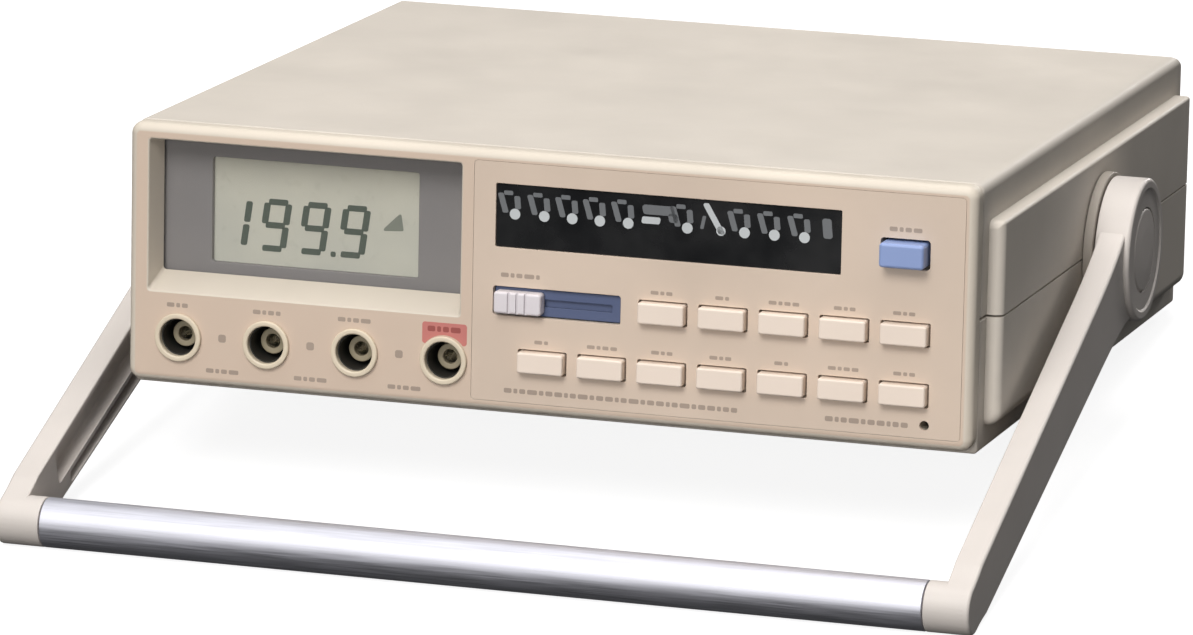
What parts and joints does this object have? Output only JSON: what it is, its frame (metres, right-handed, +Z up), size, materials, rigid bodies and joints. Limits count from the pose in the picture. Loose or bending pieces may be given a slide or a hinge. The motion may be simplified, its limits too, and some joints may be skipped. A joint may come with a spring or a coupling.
{
  "type": "lcr meter",
  "caption": "Bench LCR meter in a beige two-part case with a liquid-crystal display, recessed input jacks, push keys and a swing handle that props it up.",
  "frame": {"origin": "on the surface the meter stands on, under the centre of its outer box", "axes": "+X to the meter's right as its user sees it, +Y to the rear, +Z up; the case itself is tipped back by 6.7 degrees on its handle"},
  "size_m": [0.2754, 0.2926, 0.1016],
  "materials": {
    "case_plastic": "fine moulded texture, beige",
    "bezel_plastic": "smooth moulded, warm beige",
    "panel_overlay": "printed matt film, warm beige",
    "legend_black": "glossy black window",
    "display_lens": "clear acrylic",
    "display_mask": "grey printed mask",
    "lcd_glass": "reflective liquid-crystal glass",
    "key_plastic": "satin cream",
    "blue_plastic": "satin blue",
    "dark_blue_plastic": "satin dark blue",
    "knob_plastic": "smooth off-white",
    "jack_plastic": "smooth cream",
    "handle_plastic": "fine moulded texture, beige",
    "dark_plastic": "dark moulded",
    "black_plastic": "black moulded",
    "foot_rubber": "matt black rubber",
    "grey_silicone": "matt grey",
    "brushed_tube": "bright drawn tube",
    "rear_aluminium": "matt beige paint",
    "nickel": "bright nickel plate",
    "steel": "zinc-plated screw",
    "circuit_board": "green solder mask",
    "transformer": "laminated core with wound coil"
  },
  "bodies": {
    "case": {"top_cover": "case_plastic", "bottom_cover": "case_plastic", "case_screw_1": "steel", "case_screw_2": "steel", "case_screw_3": "steel", "case_screw_4": "steel", "foot_front_left": "foot_rubber", "foot_front_right": "foot_rubber", "foot_rear_left": "foot_rubber", "foot_rear_right": "foot_rubber", "front_bezel": "bezel_plastic", "front_overlay": "panel_overlay", "legend_window": "legend_black", "display_lens": "display_lens", "display_mask": "display_mask", "lcd_panel": "lcd_glass", "lcd_connector_top": "foot_rubber", "lcd_connector_bottom": "foot_rubber", "key_mat": "grey_silicone", "power_switch": "dark_plastic", "slide_switch": "dark_blue_plastic", "front_board": "circuit_board", "jack_collar_1": "jack_plastic", "jack_collar_2": "jack_plastic", "jack_collar_3": "jack_plastic", "jack_collar_4": "jack_plastic", "jack_socket_1": "nickel", "jack_socket_2": "nickel", "jack_socket_3": "nickel", "jack_socket_4": "nickel", "main_board": "circuit_board", "ribbon_cable": "grey_silicone", "mains_transformer": "transformer", "rear_panel": "rear_aluminium", "power_inlet": "black_plastic", "fuse_holder": "black_plastic", "pivot_stub_right": "dark_plastic", "pivot_stub_left": "dark_plastic", "pivot_screw_right": "steel", "pivot_screw_left": "steel"},
    "handle": {"handle_arm_right": "handle_plastic", "handle_arm_left": "handle_plastic", "handle_tube": "brushed_tube", "hub_cap_right": "handle_plastic", "hub_cap_left": "handle_plastic"},
    "key_1_cap": {"key_1": "key_plastic"},
    "key_2_cap": {"key_2": "key_plastic"},
    "key_3_cap": {"key_3": "key_plastic"},
    "key_4_cap": {"key_4": "key_plastic"},
    "key_5_cap": {"key_5": "key_plastic"},
    "key_6_cap": {"key_6": "key_plastic"},
    "key_7_cap": {"key_7": "key_plastic"},
    "key_8_cap": {"key_8": "key_plastic"},
    "key_9_cap": {"key_9": "key_plastic"},
    "key_10_cap": {"key_10": "key_plastic"},
    "key_11_cap": {"key_11": "key_plastic"},
    "key_12_cap": {"key_12": "key_plastic"},
    "power_button_cap": {"power_button": "blue_plastic"},
    "range_knob": {"slide_knob": "knob_plastic"}
  },
  "joints": [
    {"name": "handle_swing", "type": "hinge", "parent": "case", "child": "handle", "pos_m": [0, 0.03516, 0.05153], "axis": [-1, 0, 0], "range_deg": [-40, 201]},
    {"name": "key_1_press", "type": "slide", "parent": "case", "child": "key_1_cap", "axis": [0, 0.9931, -0.1173], "range_m": [0, 0.002], "stiffness_N_per_m": 300, "springref_m": -0.0005},
    {"name": "key_2_press", "type": "slide", "parent": "case", "child": "key_2_cap", "axis": [0, 0.9931, -0.1173], "range_m": [0, 0.002], "stiffness_N_per_m": 300, "springref_m": -0.0005},
    {"name": "key_3_press", "type": "slide", "parent": "case", "child": "key_3_cap", "axis": [0, 0.9931, -0.1173], "range_m": [0, 0.002], "stiffness_N_per_m": 300, "springref_m": -0.0005},
    {"name": "key_4_press", "type": "slide", "parent": "case", "child": "key_4_cap", "axis": [0, 0.9931, -0.1173], "range_m": [0, 0.002], "stiffness_N_per_m": 300, "springref_m": -0.0005},
    {"name": "key_5_press", "type": "slide", "parent": "case", "child": "key_5_cap", "axis": [0, 0.9931, -0.1173], "range_m": [0, 0.002], "stiffness_N_per_m": 300, "springref_m": -0.0005},
    {"name": "key_6_press", "type": "slide", "parent": "case", "child": "key_6_cap", "axis": [0, 0.9931, -0.1173], "range_m": [0, 0.002], "stiffness_N_per_m": 300, "springref_m": -0.0005},
    {"name": "key_7_press", "type": "slide", "parent": "case", "child": "key_7_cap", "axis": [0, 0.9931, -0.1173], "range_m": [0, 0.002], "stiffness_N_per_m": 300, "springref_m": -0.0005},
    {"name": "key_8_press", "type": "slide", "parent": "case", "child": "key_8_cap", "axis": [0, 0.9931, -0.1173], "range_m": [0, 0.002], "stiffness_N_per_m": 300, "springref_m": -0.0005},
    {"name": "key_9_press", "type": "slide", "parent": "case", "child": "key_9_cap", "axis": [0, 0.9931, -0.1173], "range_m": [0, 0.002], "stiffness_N_per_m": 300, "springref_m": -0.0005},
    {"name": "key_10_press", "type": "slide", "parent": "case", "child": "key_10_cap", "axis": [0, 0.9931, -0.1173], "range_m": [0, 0.002], "stiffness_N_per_m": 300, "springref_m": -0.0005},
    {"name": "key_11_press", "type": "slide", "parent": "case", "child": "key_11_cap", "axis": [0, 0.9931, -0.1173], "range_m": [0, 0.002], "stiffness_N_per_m": 300, "springref_m": -0.0005},
    {"name": "key_12_press", "type": "slide", "parent": "case", "child": "key_12_cap", "axis": [0, 0.9931, -0.1173], "range_m": [0, 0.002], "stiffness_N_per_m": 300, "springref_m": -0.0005},
    {"name": "power_press", "type": "slide", "parent": "case", "child": "power_button_cap", "axis": [0, 0.9931, -0.1173], "range_m": [0, 0.003], "stiffness_N_per_m": 400, "springref_m": -0.0005},
    {"name": "range_slide", "type": "slide", "parent": "case", "child": "range_knob", "axis": [1, 0, 0], "range_m": [0, 0.0206]}
  ]
}
